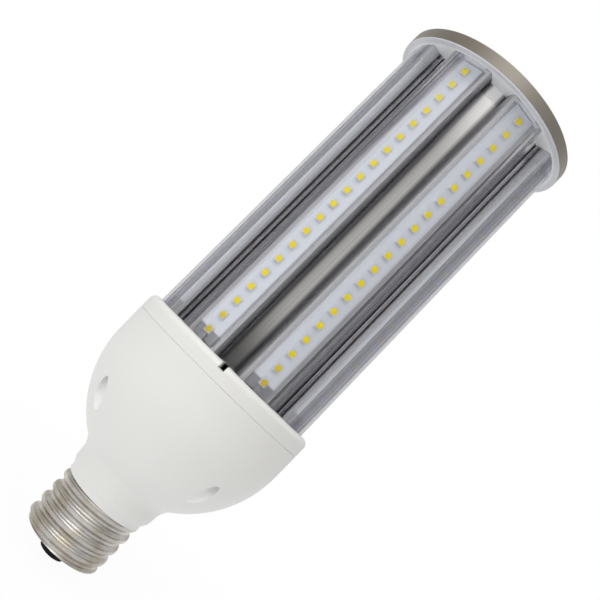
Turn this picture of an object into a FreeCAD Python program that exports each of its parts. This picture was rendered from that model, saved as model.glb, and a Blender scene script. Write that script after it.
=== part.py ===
import FreeCAD, Part
import math
import os

# Corn lamp on a large screw cap: eight glazed strips of light round an extruded core.
# Sizes are in millimetres. The lamp's axis is Z, with the contact's tip at z = 0 and the closed end on top.
# The notch in the collar faces -Y, and angles are counted from there.

V = FreeCAD.Vector
UP = V(0, 0, 1)
ORIGIN = V(0, 0, 0)
NOTCH_ANGLE = -90.0

# Screw cap
thread_major_r = 19.7
thread_minor_r = 17.98
thread_pitch = 6.35
thread_crest_trim = 0.07
thread_turn_gap = 0.3
crest_rise = 15.8
shell_wall = 0.6
shell_height = 25.4
shell_end_inset = 2.0
shell_end_height = 3.0
shell_lip_width = 2.5
shell_joint_angle = 135.0
contact_r = 6.0
contact_dome = 1.3
contact_rim = 0.8
stem_r = 1.6
stem_height = 9.5
nose_height = 4.9
nose_tip_rim = 0.6
nose_step = 2.1
nose_flare = 0.6
insulator_flange = 2.4
fit_clearance = 0.1

# Driver housing
housing_r = 46.4
housing_height = 68.6
housing_wall = 2.2
skirt_height = 11.8
skirt_draft = 0.2
seam_bevel = 0.45
neck_r = 21.6
neck_height = 7.9
neck_taper = 0.3
neck_fillet_r = 10.0
ring_height = 1.8
ring_inset = 0.1
neck_chamfer_height = 3.1
neck_floor = 4.1
spigot_wall = 1.8
spigot_length = 19.0
well_inset = 6.3
well_r = 3.4
well_wall = 1.6
well_floor = 4.0
rib_thickness = 2.0
rib_overlap = 3.0

# Collar
collar_height = 7.6
collar_edge_r = 3.0
collar_plate = 4.4
collar_hole_r = 22.0
lip_depth = 3.0
lip_wall = 1.4
lip_clearance = 0.15
collar_boss_r = 4.2
notch_width = 2.9
notch_depth = 2.8
post_r = 2.4

# Core and its screw channels
core_length = 158.4
core_inset = 11.8
core_wall = 2.6
land_rise = 2.6
land_width = 16.4
groove_sink = 1.2
groove_depth = 1.0
strip_count = 8
port_count = 4
port_inset = 4.1
port_hole_r = 1.5
port_wall = 2.0
port_slit = 1.5
mouth_width = 2.6
mouth_length = 3.0

# Strips and covers
board_width = 11.0
board_thickness = 1.5
board_end_gap = 0.5
led_width = 3.2
led_height = 0.8
led_window_rim = 0.25
led_window_depth = 0.15
led_pitch = 7.8
led_end_margin = 4.5
cover_wall = 1.1
cover_rise = 5.0
cover_flare = 0.7
cover_corner_r = 1.4
foot_thickness = 1.2
foot_reach = 0.8
slide_clearance = 0.2

# End cap and the white plate under it
end_plate_thickness = 0.6
end_plate_inset = 0.1
cap_inset = 0.6
cap_thickness = 5.6
cap_chamfer = 0.5

# Screws
screw_r = 1.4
screw_hole_clearance = 0.3
screw_head_r = 2.8
screw_head_height = 2.0
screw_length = 12.0
screw_tip_gap = 0.5
countersink_depth = 1.6
cross_width = 0.7
cross_depth = 0.9

# Driver
board_gap = 1.1
driver_drop = 13.0
driver_board_thickness = 1.6
layout_r = 34.0
transformer_y = 11.0
transformer_width = 26.0
transformer_depth = 11.0
transformer_height = 24.0
core_leg = 5.0
winding_depth = 19.0
winding_gap = 0.3
mains_can_x = 13.0
mains_can_y = -12.0
mains_can_r = 8.0
mains_can_height = 25.0
output_can_x = -9.0
output_can_y = -11.0
output_can_r = 6.3
output_can_height = 20.0
can_edge_r = 1.2
film_y = -25.0
film_width = 13.0
film_depth = 6.0
film_height = 12.0
rectifier_x = -19.0
rectifier_y = 10.0
rectifier_width = 4.0
rectifier_depth = 15.0
rectifier_height = 11.0
choke_x = 22.0
choke_y = 8.0
choke_r = 7.0
choke_hole_r = 3.0
choke_height = 9.0
fuse_x = -22.0
fuse_y = -12.0
fuse_r = 2.4
fuse_height = 10.0

# Leads
lead_r = 0.9
lead_bend_r = 8.0
lead_inset = 8.0
lead_climb = 26.0
lead_wall_gap = 1.8
neutral_joint_rise = 4.0
strip_lead_width = 2.6
strip_lead_thickness = 1.0
strip_lead_tail = 3.0
strip_lead_rise = 5.0
strip_lead_inset = 6.0
strip_lead_clearance = 0.1

# Heights along the axis
contact_top = contact_dome + contact_rim
shell_bottom = contact_top + nose_height
shoulder = shell_bottom + shell_height
seam = shoulder + housing_height
collar_top = seam + collar_height
core_top = collar_top + core_length
cap_bottom = core_top + end_plate_thickness
plate_bottom = collar_top - collar_plate
boss_top = seam - lip_depth
board_bottom = seam - driver_drop
board_top = board_bottom + driver_board_thickness

# Radii that several pieces share
shell_bore_r = thread_minor_r - shell_wall
shell_end_r = thread_major_r - shell_end_inset
lip_hole_r = shell_end_r - shell_lip_width
spigot_r = shell_bore_r - lip_clearance
spigot_bottom = shoulder - spigot_length
lip_r = housing_r - housing_wall - lip_clearance
collar_flat_r = housing_r - collar_edge_r
well_circle_r = housing_r - well_inset
well_boss_r = well_r + well_wall
driver_board_r = well_circle_r - well_boss_r - board_gap
driver_fit = driver_board_r / layout_r
lead_spread = driver_board_r - lead_inset
cap_r = housing_r - cap_inset
valley_r = housing_r - core_inset
bore_r = valley_r - core_wall
land_r = valley_r + land_rise
port_circle_r = valley_r - port_inset
strip_face_r = land_r + board_thickness
cover_r = land_r + cover_rise
groove_floor_r = valley_r - groove_sink
foot_r = groove_floor_r + slide_clearance
cover_foot_half = land_width / 2 + slide_clearance + cover_wall
screw_hole_r = screw_r + screw_hole_clearance


def section(start, *steps):
    """Closed face in the XZ plane. A step is an end point, or a pair: an arc's middle and its end."""
    edges = []
    here = V(start[0], 0, start[1])
    for step in steps + (start,):
        bent = isinstance(step[0], tuple)
        end = step[1] if bent else step
        there = V(end[0], 0, end[1])
        if bent:
            through = V(step[0][0], 0, step[0][1])
            edges.append(Part.Arc(here, through, there).toShape())
        else:
            edges.append(Part.LineSegment(here, there).toShape())
        here = there
    return Part.Face(Part.Wire(edges))


def turned(face):
    """Solid of revolution of a section about the lamp's axis."""
    return face.revolve(ORIGIN, UP, 360)


def on_circle(centre, radius, degrees):
    """Point of a circle in the XZ plane."""
    angle = math.radians(degrees)
    return (centre[0] + radius * math.cos(angle), centre[1] + radius * math.sin(angle))


def column(radius, bottom, top, x=0.0, y=0.0):
    """Upright cylinder between two heights."""
    return Part.makeCylinder(radius, top - bottom, V(x, y, bottom))


def hung_block(x, y, width, depth, height, drop=0.0):
    """Box that hangs from the driver board, in the layout's sizes, which grow and shrink with the board."""
    size = V(width, depth, height) * driver_fit
    corner = V(x - width / 2, y - depth / 2, -drop - height) * driver_fit
    return Part.makeBox(size.x, size.y, size.z, corner + UP * board_bottom)


def hung_can(x, y, radius, height):
    """Cylinder that hangs from the driver board, in the layout's sizes."""
    low = board_bottom - height * driver_fit
    return column(radius * driver_fit, low, board_bottom, x * driver_fit, y * driver_fit)


def at_angle(shape, degrees):
    """Copy turned about the axis, from +X to an angle counted from the notch."""
    copy = shape.copy()
    copy.rotate(ORIGIN, UP, NOTCH_ANGLE + degrees)
    return copy


def ring_of(shape, count, first):
    """Copies spaced evenly about the axis, the first at an angle from the notch."""
    return [at_angle(shape, first + 360.0 * i / count) for i in range(count)]


def port_ring(shape):
    """Copies at the screw channels, which lie in every other valley."""
    return ring_of(shape, port_count, 180.0 / port_count)


def rib_ring(shape):
    """Copies midway between the screw channels."""
    return ring_of(shape, port_count, 0.0)


def strip_ring(shape):
    """Copies at the strips, which lie midway between the valleys."""
    return ring_of(shape, strip_count, 180.0 / strip_count)


def thread_groove():
    """Round groove of the thread: a hollow arc at the root, then half of the crest's arc on each side."""
    half = thread_pitch / 2
    crest_r = thread_major_r + thread_crest_trim
    depth = crest_r - thread_minor_r
    knuckle_r = (depth ** 2 + half ** 2) / (4 * depth)
    turn = math.degrees(math.asin(half / (2 * knuckle_r)))
    edge_turn = math.degrees(math.asin(thread_turn_gap / 2 / knuckle_r))
    low_crest = (crest_r - knuckle_r, -half)
    high_crest = (crest_r - knuckle_r, half)
    middle = (crest_r + thread_minor_r) / 2
    outside = crest_r + depth
    low_edge = on_circle(low_crest, knuckle_r, edge_turn)
    high_edge = on_circle(high_crest, knuckle_r, -edge_turn)
    face = section(
        (outside, low_edge[1]),
        low_edge,
        (on_circle(low_crest, knuckle_r, (turn + edge_turn) / 2), (middle, -half / 2)),
        ((thread_minor_r, 0.0), (middle, half / 2)),
        (on_circle(high_crest, knuckle_r, -(turn + edge_turn) / 2), high_edge),
        (outside, high_edge[1]),
    )
    root_z = shell_bottom + crest_rise
    turns_below = math.ceil((root_z - shell_bottom) / thread_pitch + 0.5)
    start = root_z - turns_below * thread_pitch
    turns = math.ceil((shoulder - start) / thread_pitch + 0.5)
    path = Part.makeHelix(thread_pitch, turns * thread_pitch, thread_major_r)
    groove = Part.Wire(path.Edges).makePipeShell([face.OuterWire], True, True)
    groove.translate(V(0, 0, start))
    return groove


def screw_shell():
    """Thin threaded shell with a rounded lower end, whose lip holds the insulator."""
    end_top = shell_bottom + shell_end_height
    lip_top = shell_bottom + shell_wall
    slant = math.sqrt(0.5)
    bulge = (shell_end_r + shell_end_inset * slant, end_top - shell_end_height * slant)
    blank = at_angle(turned(section(
        (lip_hole_r, shell_bottom),
        (shell_end_r, shell_bottom),
        (bulge, (thread_major_r, end_top)),
        (thread_major_r, shoulder),
        (shell_bore_r, shoulder),
        (shell_bore_r, lip_top),
        (lip_hole_r, lip_top),
    )), shell_joint_angle)
    return blank.cut(thread_groove())


def cap_insulator():
    """Moulded nose: a flange above the shell's lip and a stepped cone that carries the contact."""
    hole_r = stem_r + fit_clearance
    neck = lip_hole_r - fit_clearance
    flange_bottom = shell_bottom + shell_wall
    flange_top = flange_bottom + insulator_flange
    tip_r = contact_r + nose_tip_rim
    return turned(section(
        (hole_r, contact_top),
        (tip_r, contact_top),
        (tip_r + nose_flare, contact_top + nose_step),
        (neck, shell_bottom),
        (neck, flange_bottom),
        (shell_bore_r - fit_clearance, flange_bottom),
        (shell_bore_r - fit_clearance, flange_top),
        (hole_r, flange_top),
    ))


def centre_contact():
    """Domed button with a stem through the insulator."""
    ball_r = (contact_r ** 2 + contact_dome ** 2) / (2 * contact_dome)
    half_turn = math.degrees(math.asin(contact_r / ball_r)) / 2
    stem_top = contact_top + stem_height
    return turned(section(
        (0.0, 0.0),
        (on_circle((0.0, ball_r), ball_r, half_turn - 90), (contact_r, contact_dome)),
        (contact_r, contact_top),
        (stem_r, contact_top),
        (stem_r, stem_top),
        (0.0, stem_top),
    ))


def bowl_outline(wall):
    """Steps of the bowl from the neck to the skirt, moved inwards by a wall.

    The bowl's arc touches the skirt and the neck's fillet, and its radius follows from that."""
    skirt_r = housing_r - skirt_draft
    bowl_z = seam - skirt_height
    fillet_z = shoulder + neck_height
    fillet_x = neck_r + neck_fillet_r
    reach = fillet_x - skirt_r
    drop = bowl_z - fillet_z
    bowl_r = (reach ** 2 + drop ** 2 - neck_fillet_r ** 2) / (2 * (neck_fillet_r - reach))
    bowl = (skirt_r - bowl_r, bowl_z)
    fillet = (fillet_x, fillet_z)
    turn = math.degrees(math.atan2(fillet_z - bowl_z, fillet_x - bowl[0]))
    outer_r = bowl_r - wall
    inner_r = neck_fillet_r + wall
    return (
        (neck_r - wall, fillet_z),
        (on_circle(fillet, inner_r, 180 + turn / 2), on_circle(fillet, inner_r, 180 + turn)),
        (on_circle(bowl, outer_r, turn / 2), (skirt_r - wall, bowl_z)),
    )


def housing_body():
    """Outside of the housing as a full solid, down to the end of the spigot inside the shell."""
    ring_r = thread_major_r - ring_inset
    ring_top = shoulder + ring_height
    return turned(section(
        (0.0, spigot_bottom),
        (spigot_r, spigot_bottom),
        (spigot_r, shoulder),
        (ring_r, shoulder),
        (ring_r, ring_top),
        (neck_r - neck_taper, ring_top + neck_chamfer_height),
        *bowl_outline(0.0),
        (housing_r, seam - seam_bevel),
        (housing_r - seam_bevel, seam),
        (0.0, seam),
    ))


def housing_room(wall):
    """Room inside the housing down to the neck's floor, with a wall left round it."""
    floor = shoulder + neck_floor
    return turned(section(
        (0.0, floor),
        (neck_r - wall, floor),
        *bowl_outline(wall),
        (housing_r - wall, seam),
        (0.0, seam),
    ))


def driver_housing():
    """White bowl with four screw wells, their bosses and the ribs that carry the driver board."""
    low = shoulder + neck_height
    boss = column(well_boss_r, low, boss_top, well_circle_r)
    rib_in = driver_board_r - rib_overlap
    rib = Part.makeBox(housing_r, rib_thickness, board_bottom - low, V(rib_in, -rib_thickness / 2, low))
    inside = Part.makeCompound(port_ring(boss) + rib_ring(rib)).common(housing_room(housing_wall / 2))
    well = column(well_r, low, boss_top - well_floor, well_circle_r)
    hole = column(screw_hole_r, low, boss_top, well_circle_r)
    wire_way = column(spigot_r - spigot_wall, spigot_bottom, shoulder + neck_floor)
    shell = housing_body().cut([housing_room(housing_wall), wire_way]).fuse(inside.Solids)
    return shell.cut(port_ring(well) + port_ring(hole)).removeSplitter()


def lead_slot():
    """Slot in the collar's plate for one strip's lead."""
    width = strip_lead_width + 2 * strip_lead_clearance
    depth = strip_lead_thickness + 2 * strip_lead_clearance
    return Part.makeBox(depth, width, collar_plate, V(strip_face_r, -width / 2, plate_bottom))


def tube_collar():
    """Ring that closes the housing: a top plate for the core, a lip, screw bosses and hold-down posts."""
    edge = (collar_flat_r, collar_top - collar_edge_r)
    ring = turned(section(
        (housing_r - seam_bevel, seam),
        (housing_r, seam + seam_bevel),
        (housing_r, collar_top - collar_edge_r),
        (on_circle(edge, collar_edge_r, 45), (collar_flat_r, collar_top)),
        (collar_hole_r, collar_top),
        (collar_hole_r, plate_bottom),
        (lip_r - lip_wall, plate_bottom),
        (lip_r - lip_wall, boss_top),
        (lip_r, boss_top),
        (lip_r, seam),
    ))
    boss = column(collar_boss_r, boss_top, plate_bottom, well_circle_r)
    bosses = Part.makeCompound(port_ring(boss)).common(column(lip_r, boss_top, plate_bottom))
    post = column(post_r, board_top, plate_bottom, driver_board_r - rib_overlap / 2)
    pilot_top = boss_top - well_floor + screw_length + screw_tip_gap
    pilot = column(screw_r + fit_clearance, boss_top, pilot_top, well_circle_r)
    core_hole = column(screw_hole_r, plate_bottom, collar_top, port_circle_r)
    notch_floor = collar_top - notch_depth
    notch_in = collar_hole_r - notch_width
    notch = Part.makeBox(housing_r, notch_width, notch_depth, V(notch_in, -notch_width / 2, notch_floor))
    cuts = port_ring(pilot) + port_ring(core_hole) + strip_ring(lead_slot()) + [at_angle(notch, 0.0)]
    return ring.fuse(bosses.Solids + rib_ring(post)).cut(cuts).removeSplitter()


def heat_sink():
    """Extruded core: lands for the strips, valleys, grooves for the covers' feet and screw channels."""
    land = Part.makeBox(land_r, land_width, core_length, V(0, -land_width / 2, collar_top))
    outside = column(valley_r, collar_top, core_top).fuse(strip_ring(land))
    port_boss = column(port_hole_r + port_wall, collar_top, core_top, port_circle_r)
    ports = Part.makeCompound(port_ring(port_boss)).common(outside)
    port = column(port_hole_r, collar_top, core_top, port_circle_r)
    slit = Part.makeBox(port_inset + port_wall, port_slit, core_length,
                        V(port_circle_r, -port_slit / 2, collar_top))
    mouth = Part.makeBox(port_inset + port_wall, mouth_width, mouth_length,
                         V(port_circle_r, -mouth_width / 2, core_top - mouth_length))
    groove_rise = foot_thickness + 2 * slide_clearance
    groove_width = groove_depth + slide_clearance + cover_wall
    groove_in = land_width / 2 - groove_depth
    left = Part.makeBox(groove_rise, groove_width, core_length, V(groove_floor_r, groove_in, collar_top))
    right = Part.makeBox(groove_rise, groove_width, core_length,
                         V(groove_floor_r, -groove_in - groove_width, collar_top))
    tube = outside.cut(column(bore_r, collar_top, core_top)).fuse(ports.Solids)
    cuts = port_ring(port) + port_ring(slit) + port_ring(mouth) + strip_ring(left) + strip_ring(right)
    return tube.cut(cuts).removeSplitter()


def led_board():
    """One strip, on its land."""
    bottom = collar_top + board_end_gap
    length = core_length - 2 * board_end_gap
    return Part.makeBox(board_thickness, board_width, length, V(land_r, -board_width / 2, bottom))


def led_row():
    """Packages of one strip, each a square block with a shallow round window for the light."""
    count = int((core_length - 2 * led_end_margin) / led_pitch) + 1
    first = collar_top + (core_length - (count - 1) * led_pitch) / 2
    block = Part.makeBox(led_height, led_width, led_width, V(strip_face_r, -led_width / 2, -led_width / 2))
    window_floor = strip_face_r + led_height - led_window_depth
    window_r = led_width / 2 - led_window_rim
    window = Part.makeCylinder(window_r, led_window_depth, V(window_floor, 0, 0), V(1, 0, 0))
    package = block.cut(window)
    return Part.makeCompound([package.translated(V(0, 0, first + i * led_pitch)) for i in range(count)])


def is_cover_corner(edge, radius, length):
    """True for the two long outer edges where a cover's face meets its sides."""
    middle = edge.CenterOfMass
    along = abs(edge.Length - length) < fit_clearance
    return along and abs(math.hypot(middle.x, middle.y) - radius) < fit_clearance


def clear_cover():
    """U-shaped cover: a face round the lamp's axis, two flared sides and two feet under the land's edges."""
    face_half = cover_foot_half + cover_flare
    inner_r = cover_r - cover_wall
    inner_half = face_half - cover_wall
    leg_in = cover_foot_half - cover_wall
    foot_in = leg_in - foot_reach
    foot_top = foot_r + foot_thickness
    corner = math.sqrt(cover_r ** 2 - face_half ** 2)
    inner_corner = math.sqrt(inner_r ** 2 - inner_half ** 2)
    flat = section(
        (foot_r, cover_foot_half),
        (corner, face_half),
        ((cover_r, 0.0), (corner, -face_half)),
        (foot_r, -cover_foot_half),
        (foot_r, -foot_in),
        (foot_top, -foot_in),
        (foot_top, -leg_in),
        (inner_corner, -inner_half),
        ((inner_r, 0.0), (inner_corner, inner_half)),
        (foot_top, leg_in),
        (foot_top, foot_in),
        (foot_r, foot_in),
    )
    length = core_length - slide_clearance
    solid = flat.extrude(V(0, length, 0))
    solid.rotate(ORIGIN, V(1, 0, 0), 90)
    solid.translate(V(0, 0, collar_top))
    corners = [edge for edge in solid.Edges if is_cover_corner(edge, cover_r, length)]
    return solid.makeFillet(cover_corner_r, corners)


def end_plate():
    """Thin white plate between the core and the end cap."""
    plate = column(cap_r - end_plate_inset, core_top, cap_bottom)
    return plate.cut(port_ring(column(screw_hole_r, core_top, cap_bottom, port_circle_r)))


def end_cap():
    """Turned plate that closes the far end, with four countersunk holes."""
    top = cap_bottom + cap_thickness
    plate = turned(section(
        (0.0, cap_bottom),
        (cap_r, cap_bottom),
        (cap_r, top - cap_chamfer),
        (cap_r - cap_chamfer, top),
        (0.0, top),
    ))
    hole = column(screw_hole_r, cap_bottom, top, port_circle_r)
    sink = Part.makeCone(screw_hole_r, screw_head_r + screw_hole_clearance, countersink_depth,
                         V(port_circle_r, 0, top - countersink_depth))
    return plate.cut(port_ring(hole) + port_ring(sink))


def screw(head):
    """Screw along the axis: the shank hangs below z = 0 and the head, with its cross recess, is given."""
    shank = column(screw_r, -screw_length, 0.0)
    whole = head.fuse(shank)
    top = whole.BoundBox.ZMax
    arm = 2 * screw_r
    across = Part.makeBox(arm, cross_width, cross_depth, V(-arm / 2, -cross_width / 2, top - cross_depth))
    along = Part.makeBox(cross_width, arm, cross_depth, V(-cross_width / 2, -arm / 2, top - cross_depth))
    return whole.cut([across, along]).removeSplitter()


def pan_screw():
    """Screw with a flat-topped round head above z = 0."""
    return screw(column(screw_head_r, 0.0, screw_head_height))


def sunk_screw():
    """Screw with a countersunk head that tapers down to z = 0."""
    return screw(Part.makeCone(screw_r, screw_head_r, countersink_depth, ORIGIN))


def upturned(shape):
    """Copy turned over, so that a screw's shank points up."""
    copy = shape.copy()
    copy.rotate(ORIGIN, V(1, 0, 0), 180)
    return copy


def end_cap_screws():
    """Screws through the end cap into the core's channels."""
    seat = cap_bottom + cap_thickness - countersink_depth
    return Part.makeCompound(port_ring(sunk_screw().translated(V(port_circle_r, 0, seat))))


def housing_screws():
    """Screws at the bottom of the wells, up into the collar's bosses."""
    seat = boss_top - well_floor
    return Part.makeCompound(port_ring(upturned(pan_screw()).translated(V(well_circle_r, 0, seat))))


def core_screws():
    """Screws through the collar's plate, up into the core's channels."""
    return Part.makeCompound(port_ring(upturned(pan_screw()).translated(V(port_circle_r, 0, plate_bottom))))


def driver_board():
    """Round circuit board, held between the housing's ribs and the collar's posts."""
    return column(driver_board_r, board_bottom, board_top)


def transformer_core():
    """Ferrite core: a frame with a middle leg."""
    window_width = (transformer_width - 3 * core_leg) / 2
    window_height = transformer_height - 2 * core_leg
    side = (core_leg + window_width) / 2
    frame = hung_block(0.0, transformer_y, transformer_width, transformer_depth, transformer_height)
    windows = [hung_block(x, transformer_y, window_width, transformer_depth, window_height, core_leg)
               for x in (side, -side)]
    return frame.cut(windows)


def transformer_winding():
    """Wound bobbin round the middle leg."""
    drop = core_leg + winding_gap
    height = transformer_height - 2 * drop
    width = transformer_width - 2 * drop
    hole_width = core_leg + 2 * winding_gap
    hole_depth = transformer_depth + 2 * winding_gap
    wound = hung_block(0.0, transformer_y, width, winding_depth, height, drop)
    return wound.cut(hung_block(0.0, transformer_y, hole_width, hole_depth, height, drop))


def capacitor(x, y, radius, height):
    """Round capacitor that hangs from the driver board, rounded at its free end."""
    body = hung_can(x, y, radius, height)
    low = body.BoundBox.ZMin
    rim = [edge for edge in body.Edges if abs(edge.CenterOfMass.z - low) < fit_clearance]
    return body.makeFillet(can_edge_r * driver_fit, rim)


def line_choke():
    """Ring-shaped choke."""
    ring = hung_can(choke_x, choke_y, choke_r, choke_height)
    return ring.cut(hung_can(choke_x, choke_y, choke_hole_r, choke_height))


def bent_lead(points):
    """Round lead along straight runs with tangent arcs at the bends."""
    corners = [V(x, 0, z) for x, z in points]
    edges = []
    here = corners[0]
    for before, corner, after in zip(corners, corners[1:], corners[2:]):
        back = (before - corner).normalize()
        ahead = (after - corner).normalize()
        half = back.getAngle(ahead) / 2
        cut = lead_bend_r / math.tan(half)
        start = corner + back * cut
        end = corner + ahead * cut
        middle = corner + (back + ahead).normalize() * (lead_bend_r / math.sin(half) - lead_bend_r)
        edges.append(Part.LineSegment(here, start).toShape())
        edges.append(Part.Arc(start, middle, end).toShape())
        here = end
    edges.append(Part.LineSegment(here, corners[-1]).toShape())
    ring = Part.Wire(Part.Circle(corners[0], corners[1] - corners[0], lead_r).toShape())
    return Part.Wire(edges).makePipeShell([ring], True, False)


def live_lead():
    """Lead from the contact's stem to the driver board."""
    stem_top = contact_top + stem_height
    turn_z = board_bottom - lead_climb
    side = -lead_spread
    return bent_lead([(0.0, stem_top), (0.0, shoulder + neck_height), (side, turn_z), (side, board_bottom)])


def neutral_lead():
    """Lead from the shell's bore, below the spigot, to the driver board."""
    start_x = shell_bore_r - lead_r
    inside_x = spigot_r - spigot_wall - lead_wall_gap - lead_r
    turn_z = board_bottom - lead_climb
    return bent_lead([
        (start_x, shell_bottom + neutral_joint_rise),
        (inside_x, spigot_bottom),
        (inside_x, shoulder + neck_height),
        (lead_spread, turn_z),
        (lead_spread, board_bottom),
    ])


def strip_lead():
    """Flat lead from the driver board, outwards under the collar's plate and up through it to a strip."""
    outer = strip_face_r + strip_lead_clearance
    inner = driver_board_r - strip_lead_inset
    low = board_top + strip_lead_rise
    high = plate_bottom - strip_lead_rise
    top = collar_top + strip_lead_tail
    thick = strip_lead_thickness
    flat = section(
        (inner, board_top),
        (inner + thick, board_top),
        (inner + thick, low),
        (outer + thick, high),
        (outer + thick, top),
        (outer, top),
        (outer, high + thick),
        (inner, low + thick),
    )
    ribbon = flat.extrude(V(0, strip_lead_width, 0))
    ribbon.translate(V(0, -strip_lead_width / 2, 0))
    return ribbon


def write(name, shape):
    """Save one piece."""
    shape.exportStep(os.path.join("parts", name + ".step"))
    print(name, len(shape.Solids), round(shape.Volume, 1), shape.isValid())


os.makedirs("parts", exist_ok=True)

write("screw_shell", screw_shell())
write("cap_insulator", cap_insulator())
write("centre_contact", centre_contact())
write("driver_housing", driver_housing())
write("tube_collar", tube_collar())
write("heat_sink", heat_sink())
write("end_plate", end_plate())
write("end_cap", end_cap())
write("end_cap_screws", end_cap_screws())
write("housing_screws", housing_screws())
write("core_screws", core_screws())

for piece, shape in (("led_board", led_board()), ("led_row", led_row()), ("clear_cover", clear_cover())):
    for number, copy in enumerate(strip_ring(shape), 1):
        write(piece + "_" + str(number), copy)

write("driver_board", driver_board())
write("transformer_core", transformer_core())
write("transformer_winding", transformer_winding())
write("mains_capacitor", capacitor(mains_can_x, mains_can_y, mains_can_r, mains_can_height))
write("output_capacitor", capacitor(output_can_x, output_can_y, output_can_r, output_can_height))
write("filter_capacitor", hung_block(0.0, film_y, film_width, film_depth, film_height))
write("line_choke", line_choke())
write("bridge_rectifier",
      hung_block(rectifier_x, rectifier_y, rectifier_width, rectifier_depth, rectifier_height))
write("mains_fuse", hung_can(fuse_x, fuse_y, fuse_r, fuse_height))
write("live_lead", live_lead())
write("neutral_lead", neutral_lead())
write("strip_leads", Part.makeCompound(strip_ring(strip_lead())))
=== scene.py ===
# %% [markdown]
# # A corn lamp with a large screw cap
#
# This lesson dresses the solids of a lamp for a studio picture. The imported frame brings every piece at
# its true size and place, with the lamp's axis along Z and the contact's tip at the origin. The script
# re-makes the pieces that the eye rests on as smooth surfaces, and gives each surface a finish made of
# nodes.

# %% Load the frame
import math

import bmesh
import bpy
import numpy as np
from mathutils import Matrix, Vector


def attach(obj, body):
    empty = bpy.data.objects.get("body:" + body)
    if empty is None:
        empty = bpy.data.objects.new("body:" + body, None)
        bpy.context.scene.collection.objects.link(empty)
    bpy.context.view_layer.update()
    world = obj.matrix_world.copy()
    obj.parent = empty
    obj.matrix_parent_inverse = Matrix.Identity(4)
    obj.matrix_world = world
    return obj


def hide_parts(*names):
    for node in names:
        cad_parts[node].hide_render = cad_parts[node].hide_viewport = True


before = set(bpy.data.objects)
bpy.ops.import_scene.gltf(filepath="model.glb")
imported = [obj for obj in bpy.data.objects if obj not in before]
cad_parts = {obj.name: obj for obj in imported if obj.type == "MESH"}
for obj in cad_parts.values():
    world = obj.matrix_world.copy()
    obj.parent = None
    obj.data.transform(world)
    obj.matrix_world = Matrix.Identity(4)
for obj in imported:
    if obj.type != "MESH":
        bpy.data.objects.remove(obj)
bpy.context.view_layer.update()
MM = 0.001

# %% [markdown]
# ## Camera
#
# The picture was taken from close by, a little below the middle of the light strips, and then turned by
# an eighth of a turn, so the lamp stands upright here and the camera leans. The distance and the lens
# were fitted to the round edges of the lamp, which show as ellipses. The whole rig is turned a few
# degrees round the lamp, because the collar's notch doesn't quite face the lens.

# %% Camera
camera_distance = 338.24
camera_height = 113.86
camera_pitch = 0.1084
camera_yaw = 0.0013
camera_lean = math.pi / 4 - 0.008
rig_turn = math.radians(3.3)

view = bpy.data.cameras.new("camera")
view.sensor_width = 36.0
view.lens = 46.27
view.clip_start = 0.01
camera = bpy.data.objects.new("camera", view)
bpy.context.scene.collection.objects.link(camera)
ahead = Vector((math.sin(camera_yaw) * math.cos(camera_pitch), math.cos(camera_yaw) * math.cos(camera_pitch),
                math.sin(camera_pitch)))
right = Vector((math.cos(camera_yaw), -math.sin(camera_yaw), 0.0))
above = right.cross(ahead)
across = right * math.cos(camera_lean) + above * math.sin(camera_lean)
upward = above * math.cos(camera_lean) - right * math.sin(camera_lean)
axes = Matrix((across, upward, -ahead)).transposed().to_4x4()
rig = Matrix.Rotation(rig_turn, 4, "Z")
camera.matrix_world = rig @ Matrix.Translation(Vector((0, -camera_distance, camera_height)) * MM) @ axes
bpy.context.scene.camera = camera
bpy.context.scene.view_settings.view_transform = "Standard"
print("camera at", tuple(round(v, 4) for v in camera.matrix_world.translation))

# %% [markdown]
# ## Shader sums
#
# A finish is a small network of nodes. Writing it as sums keeps it readable: the class below wraps one
# socket, and adding or multiplying two of them adds a Math node. Every other node comes from its `node`
# method, which sets the node's settings first and then the values or links of its sockets.

# %% Socket class


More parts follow.
